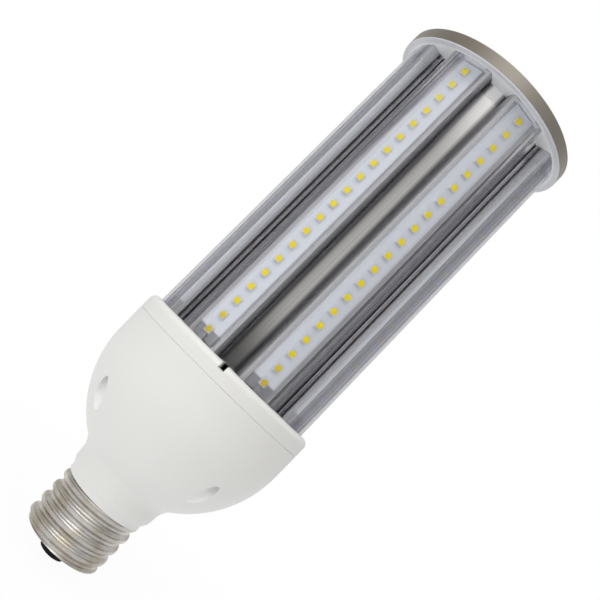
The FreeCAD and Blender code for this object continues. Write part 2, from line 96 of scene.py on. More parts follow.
class Sock:
    """A shader socket that takes part in Python sums. With no socket it is a finish's empty workbench."""

    def __init__(self, tree, socket=None):
        self.tree = tree
        self.socket = socket

    def node(self, kind, settings=None, values=None, out=0):
        """Add a node: its settings first, then the value or link of each named or numbered input."""
        made = self.tree.nodes.new("ShaderNode" + kind)
        for name, value in (settings or {}).items():
            setattr(made, name, value)
        for name, value in (values or {}).items():
            if isinstance(value, Sock):
                self.tree.links.new(value.socket, made.inputs[name])
            else:
                made.inputs[name].default_value = value
        return Sock(self.tree, made.outputs[out] if made.outputs else None)

    def out(self, name):
        """Another output of the same node."""
        return Sock(self.tree, self.socket.node.outputs[name])

    def maths(self, operation, *terms):
        """Math node of any operation."""
        return self.node("Math", {"operation": operation}, dict(enumerate(terms)))

    def __add__(self, other):
        return self.maths("ADD", self, other)

    def __radd__(self, other):
        return self.maths("ADD", other, self)

    def __sub__(self, other):
        return self.maths("SUBTRACT", self, other)

    def __rsub__(self, other):
        return self.maths("SUBTRACT", other, self)

    def __mul__(self, other):
        return self.maths("MULTIPLY", self, other)

    def __rmul__(self, other):
        return self.maths("MULTIPLY", other, self)

    def __truediv__(self, other):
        return self.maths("DIVIDE", self, other)

    def __rtruediv__(self, other):
        return self.maths("DIVIDE", other, self)

    def __pow__(self, other):
        return self.maths("POWER", self, other)

    def __gt__(self, other):
        return self.maths("GREATER_THAN", self, other)

    def __lt__(self, other):
        return self.maths("LESS_THAN", self, other)

    def __abs__(self):
        return self.maths("ABSOLUTE", self)

    def mix(self, share, first, second):
        """Blend of two colours."""
        return self.node("Mix", {"data_type": "RGBA"}, {0: share, 6: first, 7: second}, 2)

    def ease(self, value, low, high):
        """0 below low, 1 above high, and a smooth step between them."""
        ends = {"Value": value, "From Min": low, "From Max": high}
        return self.node("MapRange", {"interpolation_type": "SMOOTHSTEP"}, ends)

    def place(self):
        """Where a point is on the lamp, in metres."""
        return self.node("TexCoord", {}, {}, "Object")

    def noise(self, where, scale, detail=2.0, stretch=(1.0, 1.0, 1.0)):
        """Noise from 0 to 1, drawn out along the axes whose stretch is small."""
        drawn = self.node("Mapping", {}, {"Vector": where, "Scale": stretch})
        return self.node("TexNoise", {}, {"Vector": drawn, "Scale": scale, "Detail": detail})

    def bump(self, height, strength, depth):
        """Normal that a relief of that depth in metres gives."""
        return self.node("Bump", {}, {"Height": height, "Strength": strength, "Distance": depth})


def new_finish(name):
    """Empty node material and its workbench."""
    finish = bpy.data.materials.new(name)
    finish.use_nodes = True
    finish.node_tree.nodes.clear()
    return finish, Sock(finish.node_tree)


def coat(shade, values):
    """End a finish in one Principled shader."""
    body = shade.node("BsdfPrincipled", {}, values)
    shade.node("OutputMaterial", {}, {"Surface": body})
    return body


print("sums ready")

# %% [markdown]
# ## White moulding
#
# The driver housing and its collar are injection-moulded in a warm white plastic. A mould is
# spark-eroded to a fine grain, so the surface isn't a mirror: a fine noise gives the grain, a broad one
# a slight change of tone where the plastic cooled faster. The four screw wells are deep and narrow, and
# light bounces about in them, so they look paler than a plain shader makes them. A painted map could
# hold that, but the wells are spaced evenly, so the angle is folded to the nearest well and the
# distance from its middle decides the tone.

# %% White moulding
well_circle_r = 0.0401
well_rim_r = 0.00342, 0.00350


def folded(shade, where, count):
    """Angle about the axis, from the nearest of so many places round it, and distance from the axis."""
    parts = shade.node("SeparateXYZ", {}, {"Vector": where})
    x = parts.out("X")
    y = parts.out("Y")
    turn = 2 * math.pi / count
    fold = (shade.maths("FRACT", shade.maths("ARCTAN2", y, x) / turn + count) - 0.5) * turn
    return fold, (x * x + y * y) ** 0.5


def white_moulding():
    """Warm white between two near tones, with a fine grain in the relief and the gloss, and painted light in
    the wells.

    The distance from a well's axis comes from the law of cosines, with the folded angle between the radii."""
    finish, shade = new_finish("white_moulding")
    where = shade.place()
    tone = shade.noise(where, 14.0)
    grain = shade.noise(where, 2400.0, 3.0)
    fold, reach = folded(shade, where, 4)
    gap = reach * reach + well_circle_r ** 2 - 2 * well_circle_r * reach * shade.maths("COSINE", fold)
    # Painted light: the wells are coloured paler, for the light that bounces about in them.
    well_light = 1 - shade.ease(gap, well_rim_r[0] ** 2, well_rim_r[1] ** 2)
    body = shade.mix(tone, (0.80, 0.80, 0.785, 1), (0.77, 0.77, 0.75, 1))
    coat(shade, {
        "Base Color": shade.mix(well_light, body, (0.93, 0.93, 0.92, 1)),
        "Roughness": 0.36 + 0.12 * grain,
        "Normal": shade.bump(grain, 0.15, 0.00005),
    })
    return finish


white = white_moulding()
print("finish:", white.name)

# %% [markdown]
# ## Metals
#
# Four metals meet on the lamp. The screw shell is nickel-plated brass, drawn and rolled, so fine lines
# run round it and the plating has warmer patches. The core is an aluminium extrusion with die lines
# along it: its slots carry painted shade in near-black, its lands carry pale heat paste, and the upper
# ends of its valleys carry a painted white reflection. The end cap was turned, so its lines are circles.
# The contact is dull and painted near-black, as painted shade. One height for each, from a noise that
# is drawn out along the tool's path, drives the tone, the gloss and the relief together. A pair of
# numbers below says where a tone begins and where it is full, in metres.

# %% Metals
# Edges of the painted shade in the slots, of the heat paste and of the painted reflection at the valley tops.
slot_start = 0.0076, 0.0082
slot_end = 0.0088, 0.0118
slot_mouth = 0.0362, 0.0372
paste_start = 0.0366, 0.0371
top_reflection_start = 0.2585, 0.2625
valley_start = 0.0095, 0.0110


def about_axis(shade, where):
    """Distance from the lamp's axis and height, as one vector: noise on it makes rings round the axis."""
    parts = shade.node("SeparateXYZ", {}, {"Vector": where})
    x = parts.out("X")
    y = parts.out("Y")
    reach = (x * x + y * y) ** 0.5
    return shade.node("CombineXYZ", {}, {"X": reach, "Z": parts.out("Z")})


def across_land(shade, where):
    """Distance across the nearest land, the radius times the folded angle's sine, and the radius."""
    fold, reach = folded(shade, where, 8)
    return reach * abs(shade.maths("SINE", fold)), reach


def rolled_nickel():
    """Bright metal with rings round the axis and broad warm patches."""
    finish, shade = new_finish("rolled_nickel")
    where = shade.place()
    rings = shade.noise(about_axis(shade, where), 2600.0, 2.0)
    patch = shade.noise(where, 110.0, 3.0)
    warm = shade.ease(patch, 0.35, 0.75)
    coat(shade, {
        "Base Color": shade.mix(warm, (0.64, 0.62, 0.60, 1), (0.47, 0.42, 0.335, 1)),
        "Metallic": 1.0,
        "Roughness": 0.30 + 0.06 * rings + 0.08 * patch,
        "Normal": shade.bump(rings, 0.12, 0.00003),
    })
    return finish


def extruded_aluminium():
    """Grey metal with die lines and pasted lands, painted shade in slots and painted reflection at valley
    tops.
    """
    finish, shade = new_finish("extruded_aluminium")
    where = shade.place()
    lines = shade.noise(where, 1500.0, 3.0, (1.0, 1.0, 0.006))
    bloom = shade.noise(where, 30.0, 3.0)
    across, reach = across_land(shade, where)
    # Painted shade: the slots' sides, low down by the core, are coloured near-black.
    beside = shade.ease(across, *slot_start) * (1 - shade.ease(across, *slot_end))
    slot_shade = beside * (1 - shade.ease(reach, *slot_mouth))
    paste = shade.ease(reach, *paste_start) * (0.55 + 0.2 * bloom)
    height = shade.node("SeparateXYZ", {}, {"Vector": where}).out("Z")
    # Painted reflection: the valleys' upper ends are coloured white and made less metallic.
    top_reflection = shade.ease(height, *top_reflection_start) * shade.ease(across, *valley_start)
    drawn = shade.mix(lines, (0.66, 0.655, 0.66, 1), (0.50, 0.49, 0.49, 1))
    metal = shade.mix(top_reflection, drawn, (0.92, 0.92, 0.91, 1))
    coat(shade, {
        "Base Color": shade.mix(slot_shade, metal, (0.10, 0.095, 0.10, 1)),
        "Metallic": 1.0 - shade.maths("MAXIMUM", paste, 0.9 * top_reflection),
        "Roughness": 0.08 + 0.07 * lines + 0.04 * bloom,
        "Normal": shade.bump(lines, 0.18, 0.00004),
    })
    return finish


def turned_aluminium():
    """Grey metal, a little warm, with turning marks round the axis."""
    finish, shade = new_finish("turned_aluminium")
    where = shade.place()
    rings = shade.noise(about_axis(shade, where), 2200.0, 3.0)
    bloom = shade.noise(where, 35.0, 2.0)
    coat(shade, {
        "Base Color": shade.mix(bloom, (0.42, 0.40, 0.365, 1), (0.35, 0.31, 0.26, 1)),
        "Metallic": 1.0,
        "Roughness": 0.36 + 0.18 * rings,
        "Normal": shade.bump(rings, 0.25, 0.00004),
    })
    return finish


def mottled(name, first, second, gloss, metal=0.0, scale=400.0, shine=0.5):
    """Plain finish between two tones, with the same mottle in its gloss and relief."""
    finish, shade = new_finish(name)
    mottle = shade.noise(shade.place(), scale, 3.0)
    coat(shade, {
        "Base Color": shade.mix(mottle, (*first, 1), (*second, 1)),
        "Metallic": metal,
        "Roughness": gloss - 0.08 + 0.16 * mottle,
        "Specular IOR Level": shine,
        "Normal": shade.bump(mottle, 0.1, 0.00003),
    })
    return finish


nickel = rolled_nickel()
core_metal = extruded_aluminium()
cap_metal = turned_aluminium()
# Painted shade: the contact is coloured near-black and dull for the shade it sits in.
shaded_contact = mottled("contact_painted_shade", (0.012, 0.011, 0.011), (0.022, 0.020, 0.019), 0.55, shine=0.06)
screw_steel = mottled("plated_steel", (0.58, 0.58, 0.57), (0.48, 0.47, 0.45), 0.32, 1.0)
print("finishes:", nickel.name, core_metal.name, cap_metal.name, shaded_contact.name, screw_steel.name)

# %% [markdown]
# ## Light strips
#
# Each strip is a thin aluminium board under white solder mask. It carries a row of packages: a white
# frame with a round window of yellow phosphor. The mask shows the copper under it as slightly raised,
# paler lanes, and the solder at both ends of each package as grey pads. The pattern repeats with the
# packages, so the board piece carries its own coordinates: millimetres across the strip, and packages
# along it. The phosphor's finish has a weak emission of its own tone, a painted glow, and it is darker
# near the collar, as painted shade.

# %% Strip finishes
led_pitch = 7.8
lane_middle = 3.2
lane_half = 1.1
link_start = 3.2
link_half = 2.4
pad_half = 1.3
pad_start = 1.5
pad_end = 2.2


def strip_mask():
    """White mask with two copper lanes along the strip, grey pads at each package and grey towards the lower
    end.
    """
    finish, shade = new_finish("strip_mask")
    along = shade.node("Attribute", {"attribute_name": "strip"}, {}, "Vector")
    parts = shade.node("SeparateXYZ", {}, {"Vector": along})
    side = abs(parts.out("X"))
    off = abs(shade.maths("FRACT", parts.out("Y")) - 0.5) * led_pitch
    lane = abs(side - lane_middle) < lane_half
    link = (off > link_start) * (side < link_half)
    copper = shade.maths("MAXIMUM", lane, link)
    pad = (side < pad_half) * (off < pad_end) * (off > pad_start)
    mottle = shade.noise(shade.place(), 900.0, 2.0)
    mask = shade.mix(copper, (0.71, 0.745, 0.785, 1), (0.745, 0.775, 0.81, 1))
    # The board turns grey and half metallic towards its lower end, and the pads take a fifth of that grey.
    grey_share = shade.maths("MAXIMUM", 0.2 * pad, 1 - shade.ease(parts.out("Y"), 0.50, 0.62))
    coat(shade, {
        "Base Color": shade.mix(grey_share, mask, (0.36, 0.37, 0.38, 1)),
        "Metallic": 0.5 * grey_share,
        "Roughness": 0.30 + 0.10 * mottle,
        "Normal": shade.bump(copper + pad, 0.5, 0.00006),
    })
    return finish


def phosphor():
    """Yellow silicone between two near tones, with painted shade near the collar and a weak painted glow."""
    finish, shade = new_finish("phosphor")
    where = shade.place()
    height = shade.node("SeparateXYZ", {}, {"Vector": where}).out("Z")
    grain = shade.noise(where, 1800.0, 2.0)
    unshaded = shade.mix(grain, (0.88, 0.73, 0.012, 1), (0.85, 0.66, 0.010, 1))
    # Painted shade: the phosphor darkens towards the collar.
    tone = shade.mix(shade.ease(height, 0.112, 0.135), (0.64, 0.47, 0.04, 1), unshaded)
    coat(shade, {
        "Base Color": tone,
        # Painted glow: a weak emission of the phosphor's own tone.
        "Emission Color": tone,
        "Emission Strength": 0.08,
        "Roughness": 0.30 + 0.15 * grain,
        "Normal": shade.bump(grain, 0.2, 0.00004),
    })
    return finish


strip_white = strip_mask()
yellow = phosphor()
package_white = mottled("package_white", (0.69, 0.72, 0.75), (0.66, 0.69, 0.72), 0.38)
print("finishes:", strip_white.name, yellow.name, package_white.name)

# %% [markdown]
# ## Clear covers
#
# The covers are extruded in clear plastic. Refraction alone would draw hard lines along every corner,
# and plain transparency none, so the shader mixes both: a thin wall lets most of the view go straight
# on, and the rest bends. The side walls are slightly milky, more so at the upper end, where the faces
# are clearer. At a steep slant the plastic mirrors, so gloss grows with the angle. Lamps can't reach
# through a bending surface directly, so for shadow rays the cover is simply clear, and the strips
# inside are lit as well as if it were air. Faint haze along the extrusion changes all of these.

# %% Clear plastic
cover_index = 1.49
wall_start = 0.0076, 0.0092
wall_foot = 0.0364, 0.0392
clearer_end = 0.256, 0.265
milky_end = 0.252, 0.266
slant_start = 0.16, 0.60


def clear_plastic():
    """Straight view, refraction, slanted gloss and milky walls, in shares varied by haze along the axis."""
    finish, shade = new_finish("clear_plastic")
    where = shade.place()
    haze = shade.noise(where, 700.0, 2.0, (1.0, 1.0, 0.01))
    glass = shade.node("BsdfPrincipled", {}, {
        "Base Color": shade.mix(haze, (0.97, 0.97, 0.985, 1), (0.93, 0.93, 0.955, 1)),
        "Roughness": 0.04 + 0.08 * haze,
        "IOR": cover_index,
        "Transmission Weight": 1.0,
    })
    open_air = shade.node("BsdfTransparent", {}, {"Color": (0.955, 0.955, 0.965, 1)})
    milky = shade.node("BsdfPrincipled", {}, {
        "Base Color": shade.mix(haze, (0.66, 0.67, 0.69, 1), (0.58, 0.59, 0.61, 1)),
        "Roughness": 0.40 + 0.10 * haze,
    })
    shadow = shade.node("LightPath", {}, {}, "Is Shadow Ray")
    height = shade.node("SeparateXYZ", {}, {"Vector": where}).out("Z")
    thin = shade.maths("MINIMUM", 0.76 + 0.14 * haze + 0.20 * shade.ease(height, *clearer_end), 0.97)
    straight = shade.maths("MAXIMUM", shadow, thin)
    clear_part = shade.node("MixShader", {}, {0: straight, 1: glass, 2: open_air})
    across, reach = across_land(shade, where)
    side = shade.ease(across, *wall_start) * shade.ease(reach, *wall_foot)
    milk = (1 - shadow) * side * (0.13 + 0.10 * haze + 0.30 * shade.ease(height, *milky_end))
    sheen = shade.node("BsdfPrincipled", {}, {
        "Base Color": shade.mix(haze, (0.96, 0.96, 1.0, 1), (0.90, 0.90, 0.95, 1)),
        "Metallic": 1.0,
        "Roughness": 0.10 + 0.06 * haze,
    })
    mirror = shade.node("Fresnel", {}, {"IOR": cover_index})
    passing = shade.maths("MAXIMUM", shadow, shadow.out("Is Diffuse Ray"))
    slant = 0.9 * (1 - passing) * shade.ease(mirror, *slant_start)
    glossed = shade.node("MixShader", {}, {0: slant, 1: clear_part, 2: sheen})
    body = shade.node("MixShader", {}, {0: milk, 1: glossed, 2: milky})
    shade.node("OutputMaterial", {}, {"Surface": body})
    return finish


clear = clear_plastic()
print("finish:", clear.name)

# %% [markdown]
# ## From arrays to pieces
#
# A surface is an array of points over two parameters. The faces between neighbouring rows and columns
# need only the points' numbers, so they are worked out as whole arrays too. Where an end of the grid
# shrinks to one point, merging the doubles closes it.

# %% Mesh helpers


def grid_faces(rows, columns, round_rows=False, round_columns=True):
    """Corner numbers of the faces between neighbours. A round direction joins its end to its start."""
    row = np.arange(rows if round_rows else rows - 1)[:, None]
    column = np.arange(columns if round_columns else columns - 1)[None, :]
    next_row = (row + 1) % rows
    next_column = (column + 1) % columns
    corners = (row * columns + column, row * columns + next_column,
               next_row * columns + next_column, next_row * columns + column)
    return np.stack(np.broadcast_arrays(*corners), axis=-1).reshape(-1, 4)


def joined(mesh):
    """Merge doubles and turn all faces outwards."""
    work = bmesh.new()
    work.from_mesh(mesh)
    bmesh.ops.remove_doubles(work, verts=work.verts, dist=1e-6)
    bmesh.ops.recalc_face_normals(work, faces=work.faces)
    work.to_mesh(mesh)
    work.free()


def new_piece(name, points, faces, finish, stands_for=(), crease=35.0, strip=None):
    """Piece from points in millimetres and corner numbers, smooth except at edges sharper than the crease."""
    mesh = bpy.data.meshes.new(name)
    mesh.from_pydata((points.reshape(-1, 3) * MM).tolist(), [], faces.tolist())
    if strip is not None:
        layer = mesh.attributes.new("strip", "FLOAT_VECTOR", "POINT")
        layer.data.foreach_set("vector", strip.astype(np.float32).ravel())
    joined(mesh)
    mesh.shade_smooth()
    mesh.set_sharp_from_angle(angle=math.radians(crease))
    mesh.materials.append(finish)
    piece = bpy.data.objects.new(name, mesh)
    bpy.context.scene.collection.objects.link(piece)
    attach(piece, "root")
    if stands_for:
        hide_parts(*stands_for)
    print(name, len(mesh.polygons), "faces")
    return piece


def turned_piece(name, outline, turns, finish, stands_for):
    """Surface of revolution: each outline point (radius, height) becomes a circle about the axis."""
    outline = np.asarray(outline, float)
    angle = np.linspace(0, 2 * np.pi, turns, endpoint=False)
    circle = np.stack([np.cos(angle), np.sin(angle)], axis=-1)
    points = np.empty((len(outline), turns, 3))
    points[..., :2] = outline[:, None, :1] * circle
    points[..., 2] = outline[:, None, 1]
    return new_piece(name, points, grid_faces(len(outline), turns), finish, stands_for)


def smooth_copy(node, finish, crease=30.0):
    """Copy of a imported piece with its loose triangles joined, so that its curved faces shade as curves."""
    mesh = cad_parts[node].data
    points = np.empty(len(mesh.vertices) * 3, np.float32)
    mesh.vertices.foreach_get("co", points)
    corners = np.empty(len(mesh.loops), np.int32)
    mesh.loops.foreach_get("vertex_index", corners)
    points = points.reshape(-1, 3) / MM
    faces = corners.reshape(-1, 3)
    piece = new_piece("smooth_" + node, points, faces, finish, (node,), crease)
    even = piece.modifiers.new("even_normals", "WEIGHTED_NORMAL")
    even.keep_sharp = True
    return piece


def dress(finish, *nodes):
    """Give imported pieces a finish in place."""
    for node in nodes:
        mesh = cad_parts[node].data
        mesh.materials.clear()
        mesh.materials.append(finish)


print("helpers ready")

# %% [markdown]
# ## Screw shell
#
# The shell is thin sheet, rolled into a round thread: circle arcs for root and crest that run into each
# other. A helix could be swept, but a thread is easier to write down as a radius. At any angle and
# height the distance to the nearest root along the axis tells which arc the point is on. The inner wall
# follows the outer one at the sheet's thickness, and the lower end curls in to a lip that holds the
# insulator.

# %% Screw shell
thread_pitch = 6.35
thread_minor_r = 17.98
thread_major_r = 19.7
thread_crest_r = 19.77
thread_root_z = 22.8
shell_low = 7.0
shell_high = 32.4
shell_wall = 0.6
curl_width = 2.0
curl_height = 3.0
lip_hole_r = 15.2


def thread_radius(angle, height):
    """Radius of the round thread.

    Root and crest arcs have one radius, (depth^2 + half pitch^2) / (4 depth). Within a quarter pitch of a
    root the point is on the root's arc, and beyond that on the crest's, which is flattened at the major
    radius."""
    half = thread_pitch / 2
    depth = thread_crest_r - thread_minor_r
    arc = (depth ** 2 + half ** 2) / (4 * depth)
    turn = height - thread_root_z - thread_pitch * angle / (2 * np.pi)
    off = np.abs((turn + half) % thread_pitch - half)
    root = thread_minor_r + arc - np.sqrt(arc ** 2 - np.minimum(off, half / 2) ** 2)
    crest = thread_crest_r - arc + np.sqrt(arc ** 2 - np.minimum(half - off, half / 2) ** 2)
    return np.minimum(np.where(off < half / 2, root, crest), thread_major_r)


def end_radius(height):
    """Radius of the rounded lower end: a quarter of an ellipse, straight above it."""
    share = np.clip((shell_low + curl_height - height) / curl_height, 0, 1)
    return thread_major_r - curl_width + curl_width * np.sqrt(1 - share ** 2)


def soft_least(first, second, width):
    """The lesser of two arrays, with the corner between them rounded over a width."""
    return -width * np.logaddexp(-first / width, -second / width)


def rolled_shell():
    """Closed sheet: down the outer wall, round the lip and up the inner wall."""
    angle = np.linspace(0, 2 * np.pi, 216, endpoint=False)[None, :]
    thread_z = np.linspace(shell_high, shell_low + 2.4, 120)
    curl_z = np.linspace(shell_low + 2.2, shell_low, 16)
    drop = np.concatenate([thread_z, curl_z])
    outer_z = drop[:, None] + 0 * angle
    outer_r = soft_least(thread_radius(angle, outer_z), end_radius(outer_z), 0.08)
    lip_r = np.array([lip_hole_r + 0.3, lip_hole_r, lip_hole_r, lip_hole_r + 0.3])[:, None] + 0 * angle
    lip_z = shell_low + np.array([0.0, 0.2, 0.4, shell_wall])[:, None] + 0 * angle
    rise = np.linspace(shell_low + shell_wall, shell_high, 70)
    inner_z = rise[:, None] + 0 * angle
    inner_r = np.maximum(thread_radius(angle, inner_z) - shell_wall, thread_minor_r - shell_wall)
    radius = np.concatenate([outer_r, lip_r, inner_r])
    height = np.concatenate([outer_z, lip_z, inner_z])
    points = np.stack([radius * np.cos(angle), radius * np.sin(angle), height], axis=-1)
    faces = grid_faces(*radius.shape, round_rows=True)
    return new_piece("rolled_shell", points, faces, nickel, ("screw_shell",), 50.0)


rolled_shell()

# %% [markdown]
# ## Contact and insulator
#
# Below the shell sits a stepped insulator with the round contact at its tip. Its cone is grey and its
# step next to the contact is painted black, as painted shade, so the height decides the tone. Both are
# plain turned forms, so each is an outline carried round the axis. The contact's dome is part of a
# ball, and a small arc softens the insulator's step as a mould would.

# %% Contact and insulator


def arc_points(centre, radius, start, end, count=8):
    """Points of a circle's arc between two angles in degrees."""
    turn = np.radians(np.linspace(start, end, count))
    return np.stack([centre[0] + radius * np.cos(turn), centre[1] + radius * np.sin(turn)], axis=-1)


def nose_painted_shade():
    """Grey moulding whose step, below the cone, is painted black as painted shade."""
    finish, shade = new_finish("nose_painted_shade")
    where = shade.place()
    mottle = shade.noise(where, 400.0, 3.0)
    height = shade.node("SeparateXYZ", {}, {"Vector": where}).out("Z")
    # Painted shade: below the cone the step is coloured black.
    cone = shade.ease(height, 0.0042, 0.0046)
    grey = shade.mix(mottle, (0.50, 0.49, 0.48, 1), (0.43, 0.42, 0.41, 1))
    coat(shade, {
        "Base Color": shade.mix(cone, (0.012, 0.011, 0.011, 1), grey),
        "Roughness": 0.40 + 0.15 * mottle,
        "Specular IOR Level": 0.15,
        "Normal": shade.bump(mottle, 0.1, 0.00003),
    })
    return finish


nose_finish = nose_painted_shade()
contact_r = 6.0
button_rise = 1.3
button_r = (contact_r ** 2 + button_rise ** 2) / (2 * button_rise)
button_turn = math.degrees(math.asin(contact_r / button_r))
contact_outline = np.concatenate([
    arc_points((0.0, button_r), button_r, -90.0, button_turn - 90.0, 12),
    [(contact_r, 1.6), (contact_r, 2.1), (1.6, 2.1), (1.6, 11.6), (0.0, 11.6)],
])
turned_piece("contact_button", contact_outline, 72, shaded_contact, ("centre_contact",))
insulator_outline = np.concatenate([
    [(1.7, 2.1), (6.3, 2.1)],
    arc_points((6.3, 2.4), 0.3, -90.0, 0.0, 5),
    [(7.2, 4.2), (15.1, 7.0), (15.1, 7.6), (17.28, 7.6), (17.28, 10.0), (1.7, 10.0), (1.7, 2.1)],
])
turned_piece("insulator_nose", insulator_outline, 96, nose_finish, ("cap_insulator",))

# %% [markdown]
# ## Housing, collar, core, end plate and end cap
#
# These five have cut-outs that no single grid describes: screw wells, a notch, grooves, countersunk
# holes. Their imported solids already hold them, so each gets a copy whose triangles are joined and
# shaded smooth, with the edges kept. The screws are treated in the same way. The end plate is a thin
# white sheet under the end cap, and its margin outside the covers carries painted shade, a greyer tone.

# %% Smooth copies of the imported pieces
plate_shade_margin = 0.0422, 0.0440


def sealed_plate():
    """White plate whose margin outside the covers carries painted shade, a little greyer."""
    finish, shade = new_finish("plate_white")
    where = shade.place()
    mottle = shade.noise(where, 400.0, 3.0)
    reach = shade.node("SeparateXYZ", {}, {"Vector": about_axis(shade, where)}).out("X")
    face = shade.mix(mottle, (0.88, 0.89, 0.91, 1), (0.85, 0.86, 0.88, 1))
    coat(shade, {
        # Painted shade: the margin outside the covers is coloured greyer.
        "Base Color": shade.mix(shade.ease(reach, *plate_shade_margin), face, (0.66, 0.67, 0.70, 1)),
        "Roughness": 0.27 + 0.16 * mottle,
        "Normal": shade.bump(mottle, 0.1, 0.00003),
    })
    return finish


plate_white = sealed_plate()
smooth_copy("driver_housing", white)
smooth_copy("tube_collar", white)
smooth_copy("heat_sink", core_metal)
smooth_copy("end_cap", cap_metal)
smooth_copy("end_plate", plate_white)
for screws in ("end_cap_screws", "housing_screws", "core_screws"):
    smooth_copy(screws, screw_steel)

# %% [markdown]
# ## Strips and phosphor
#
# All eight strips are alike, so each array is worked out once, beside the axis, and turned to its
# place. A board is a ring of points with rounded corners carried along the strip; its end rings shrink
# to a point, which closes them. The phosphor overfills each round window a little and stands as a low
# dome: rings that close in as they rise.

# %% Strips and phosphor
strip_count = 8
strip_low = 109.1
strip_high = 266.5
board_in = 37.2
board_out = 38.7
board_half = 5.5
first_led = 113.7
led_count = 20
dome_foot = 39.51
dome_reach = 1.5


def on_strip(points, number):
    """Points turned from the X axis to a strip's place, the first one half a strip's turn past the notch."""
    angle = math.radians(-90.0 + 360.0 * (number - 0.5) / strip_count)
    turned = points.copy()
    turned[..., 0] = points[..., 0] * math.cos(angle) - points[..., 1] * math.sin(angle)
    turned[..., 1] = points[..., 0] * math.sin(angle) + points[..., 1] * math.cos(angle)
    return turned


def rounded(corners, radii, steps=6):
    """Chain of points with its corners rounded.

    Each arc touches the lines on both sides. Its centre is on the corner's bisector, at the radius over the
    sine of half the corner's angle, and it turns through what the angle lacks of a straight line."""
    corners = np.asarray(corners, float)
    radii = np.asarray(radii, float)
    before = np.roll(corners, 1, axis=0) - corners
    after = np.roll(corners, -1, axis=0) - corners
    before /= np.linalg.norm(before, axis=1, keepdims=True)
    after /= np.linalg.norm(after, axis=1, keepdims=True)
    bisector = before + after
    bisector /= np.linalg.norm(bisector, axis=1, keepdims=True) + 1e-12
    half = np.arccos(np.clip((before * bisector).sum(axis=1), -1, 1))
    sideways = after - before
    sideways /= np.linalg.norm(sideways, axis=1, keepdims=True)
    turn = np.linspace(-1, 1, steps)[None, :] * (np.pi / 2 - half)[:, None]
    centre = corners + bisector * (radii / np.sin(half))[:, None]
    arc = sideways[:, None, :] * np.sin(turn)[..., None] - bisector[:, None, :] * np.cos(turn)[..., None]
    return (centre[:, None, :] + radii[:, None, None] * arc).reshape(-1, 2)


def board_points():
    """Rounded bar along the strip, and its own coordinates: millimetres across and packages along."""
    corners = [(board_in, -board_half), (board_out, -board_half),
               (board_out, board_half), (board_in, board_half)]
    ring = rounded(corners, [0.05, 0.15, 0.15, 0.05], 4)
    middle = np.array([(board_in + board_out) / 2, 0.0])
    share = np.array([0.0, 1.0, 1.0, 0.0])[:, None, None]
    flat = middle + (ring - middle) * share
    height = np.array([strip_low, strip_low, strip_high, strip_high])[:, None] + 0 * flat[..., 0]
    points = np.concatenate([flat, height[..., None]], axis=-1)
    own = np.stack([points[..., 1], (height - first_led) / led_pitch + 0.5, 0 * height], axis=-1)
    return points, own


def dome_points():
    """Phosphor of one strip: round domes, each a few rings that close in over the window's rim."""
    turn = np.linspace(0, 2 * np.pi, 12, endpoint=False)
    reach = dome_reach * np.array([0.0, 1.0, 1.0, 0.6, 0.0])[:, None]
    rise = np.array([0.0, 0.0, 0.03, 0.11, 0.14])[:, None]
    package = np.arange(led_count)[:, None, None]
    points = np.empty((led_count, len(reach), len(turn), 3))
    points[..., 0] = dome_foot + rise
    points[..., 1] = reach * np.cos(turn)
    points[..., 2] = first_led + led_pitch * package + reach * np.sin(turn)
    return points


boards, board_own = board_points()
domes = dome_points()
board_grid = grid_faces(*boards.shape[:2])
one_dome = grid_faces(*domes.shape[1:3])
first_point = np.arange(led_count)[:, None, None] * domes[0, ..., 0].size
dome_grid = (one_dome[None] + first_point).reshape(-1, 4)
for number in range(1, strip_count + 1):
    new_piece("strip_board_%d" % number, on_strip(boards, number), board_grid, strip_white,
              ("led_board_%d" % number,), 30.0, board_own)
    new_piece("phosphor_%d" % number, on_strip(domes, number), dome_grid, yellow)
    dress(package_white, "led_row_%d" % number)

# %% [markdown]
# ## Covers
#
# A cover is one bent wall with two feet that hook under the edges of the core's land. The outer and the
# inner face are chains of points with the same number of corners, so the wall is a grid: along the
# chain one way, and round the four corners of the wall the other way. The two ends of the chain are the
# feet's edges, closed by a face each.

# %% Covers
cover_low = 108.6
cover_high = 266.95
hook_edge = 7.6


def chain(reach, edge, foot, foot_x, corner_r):
    """Half profile and its mirror: foot, side and a face that is part of a circle about the lamp's axis."""
    bow = np.linspace(edge - 1.7, 0.0, 6)
    side = [(foot_x, hook_edge), (foot_x, foot), (math.sqrt(reach ** 2 - edge ** 2), edge)]
    half = np.concatenate([side, np.stack([np.sqrt(reach ** 2 - bow ** 2), bow], axis=-1)])
    radii = np.zeros(len(half))
    radii[1:3] = 0.3, corner_r
    corners = np.concatenate([half, half[-2::-1] * (1, -1)])
    return rounded(corners, np.concatenate([radii, radii[-2::-1]]), 7)


def cover_points():
    """Wall corners along the chain: outer face low and high, inner face high and low."""
    outer = chain(42.2, 10.2, 9.5, 33.6, 1.4)
    inner = chain(41.1, 9.1, 8.4, 34.8, 0.5)
    points = np.empty((len(outer), 4, 3))
    points[:, :2, :2] = outer[:, None]
    points[:, 2:, :2] = inner[:, None]
    points[..., 2] = np.array([cover_low, cover_high, cover_high, cover_low])
    return points


covers = cover_points()
ends = np.array([[0, 1, 2, 3], np.arange(4) + 4 * (len(covers) - 1)])
cover_grid = np.concatenate([grid_faces(*covers.shape[:2]), ends])
for number in range(1, strip_count + 1):
    new_piece("cover_%d" % number, on_strip(covers, number), cover_grid, clear,
              ("clear_cover_%d" % number,), 40.0)

# %% [markdown]
# ## Inside the housing
#
# The driver is shut in the housing, so nothing of it shows, but a cut-away of the model would. Its
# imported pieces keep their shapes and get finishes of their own.

